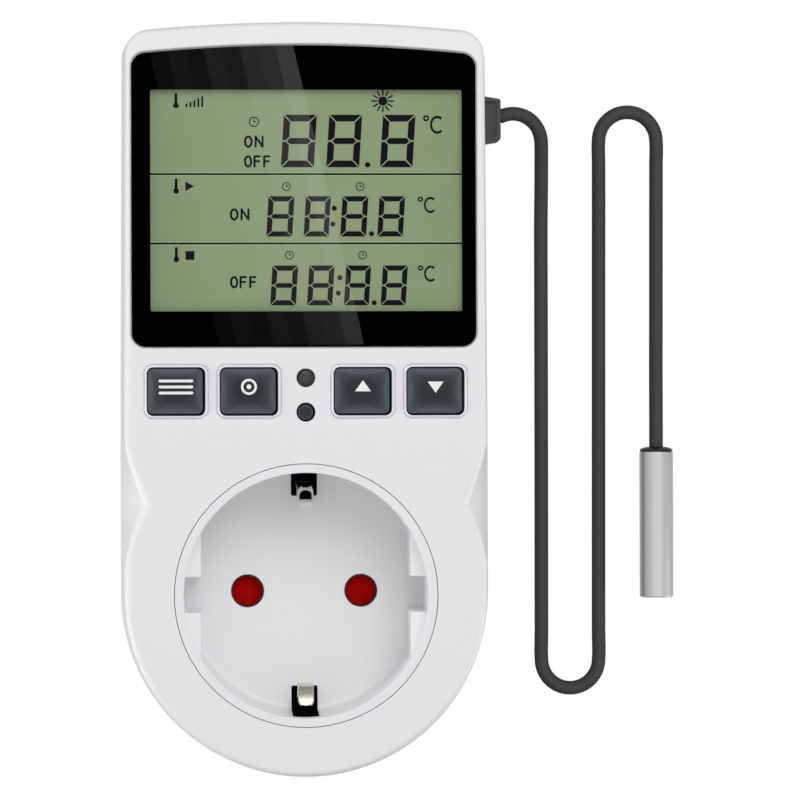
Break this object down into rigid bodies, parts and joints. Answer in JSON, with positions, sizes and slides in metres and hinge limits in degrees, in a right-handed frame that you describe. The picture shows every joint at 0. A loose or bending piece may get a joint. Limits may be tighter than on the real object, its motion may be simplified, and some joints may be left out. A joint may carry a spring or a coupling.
{
  "type": "plug-in temperature controller",
  "caption": "Plug-in temperature controller with display, push keys, earthed socket with shutter, rear plug and a wired probe.",
  "frame": {"origin": "midway between the two plug pins, on the end face of the plug boss", "axes": "+X towards the sensor lead's side, +Y towards the display end, +Z out of the front face"},
  "size_m": [0.0949, 0.125, 0.0749],
  "materials": {
    "shell": "satin moulded ABS",
    "insert": "satin moulded",
    "window": "polished acrylic, black printed border",
    "lcd": "grey-green liquid-crystal glass",
    "key": "fine satin",
    "indicator": "clear tinted dome",
    "shutter": "satin moulded, dark red",
    "rubber": "matt",
    "probe": "drawn stainless tube",
    "pins": "nickel-plated brass",
    "contact": "bright",
    "board": "green solder resist",
    "screw": "zinc-plated",
    "black_part": "matt moulded",
    "capacitor_film": "glossy moulded box",
    "capacitor_can": "shrink sleeve",
    "metal_can": "nickel-plated",
    "wire_live": "PVC insulation",
    "wire_neutral": "PVC insulation"
  },
  "bodies": {
    "casing": {"front_cover": "shell", "rear_cover": "shell", "plug_insert": "shell", "socket_cup": "insert", "shutter_carrier": "insert", "lcd_holder": "insert", "sensor_connector": "insert", "display_window": "window", "lcd_panel": "lcd", "indicator_led": "indicator", "sensor_gland": "rubber", "sensor_cord": "rubber", "inner_lead": "rubber", "lcd_zebra_strips": "rubber", "probe_potting": "rubber", "probe_tube": "probe", "line_pin": "pins", "neutral_pin": "pins", "earth_strap": "pins", "line_contact": "contact", "neutral_contact": "contact", "display_board": "board", "power_board": "board", "case_screws": "screw", "display_board_screws": "screw", "power_board_screws": "screw", "cup_screws": "screw", "shutter_spring": "screw", "relay": "black_part", "bridge_rectifier": "black_part", "microcontroller": "black_part", "board_link": "black_part", "tact_switches": "black_part", "thermistor": "black_part", "dropper_capacitor": "capacitor_film", "smoothing_capacitor": "capacitor_can", "varistor": "capacitor_can", "backup_cell": "metal_can", "fuse": "metal_can", "line_wire": "wire_live", "load_wire": "wire_live", "neutral_wire": "wire_neutral"},
    "mode_key": {"mode_key": "key", "mode_plunger": "black_part"},
    "set_key": {"set_key": "key", "set_plunger": "black_part"},
    "up_key": {"up_key": "key", "up_plunger": "black_part"},
    "down_key": {"down_key": "key", "down_plunger": "black_part"},
    "reset_button": {"reset_button": "key", "reset_plunger": "black_part"},
    "shutter": {"shutter": "shutter"},
    "earth_clip_top": {"earth_clip_top": "pins"},
    "earth_clip_bottom": {"earth_clip_bottom": "pins"}
  },
  "joints": [
    {"name": "mode_key_press", "type": "slide", "parent": "casing", "child": "mode_key", "axis": [0, 0, -1], "range_m": [0, 0.0006], "stiffness_N_per_m": 900, "springref_m": -0.0008},
    {"name": "set_key_press", "type": "slide", "parent": "casing", "child": "set_key", "axis": [0, 0, -1], "range_m": [0, 0.0006], "stiffness_N_per_m": 900, "springref_m": -0.0008},
    {"name": "up_key_press", "type": "slide", "parent": "casing", "child": "up_key", "axis": [0, 0, -1], "range_m": [0, 0.0006], "stiffness_N_per_m": 900, "springref_m": -0.0008},
    {"name": "down_key_press", "type": "slide", "parent": "casing", "child": "down_key", "axis": [0, 0, -1], "range_m": [0, 0.0006], "stiffness_N_per_m": 900, "springref_m": -0.0008},
    {"name": "reset_press", "type": "slide", "parent": "casing", "child": "reset_button", "axis": [0, 0, -1], "range_m": [0, 0.0005], "stiffness_N_per_m": 900, "springref_m": -0.0008},
    {"name": "shutter_turn", "type": "hinge", "parent": "casing", "child": "shutter", "pos_m": [0, 0, 0.0344], "axis": [0, 0, 1], "range_deg": [0, 40], "stiffness_Nm_per_rad": 0.004, "springref_deg": -11.46},
    {"name": "earth_clip_top_flex", "type": "hinge", "parent": "casing", "child": "earth_clip_top", "pos_m": [0, 0.0179, 0.0293], "axis": [-1, 0, 0], "range_deg": [0, 4], "stiffness_Nm_per_rad": 0.3, "springref_deg": -1.15},
    {"name": "earth_clip_bottom_flex", "type": "hinge", "parent": "casing", "child": "earth_clip_bottom", "pos_m": [0, -0.0179, 0.0293], "axis": [1, 0, 0], "range_deg": [0, 4], "stiffness_Nm_per_rad": 0.3, "springref_deg": -1.15}
  ]
}
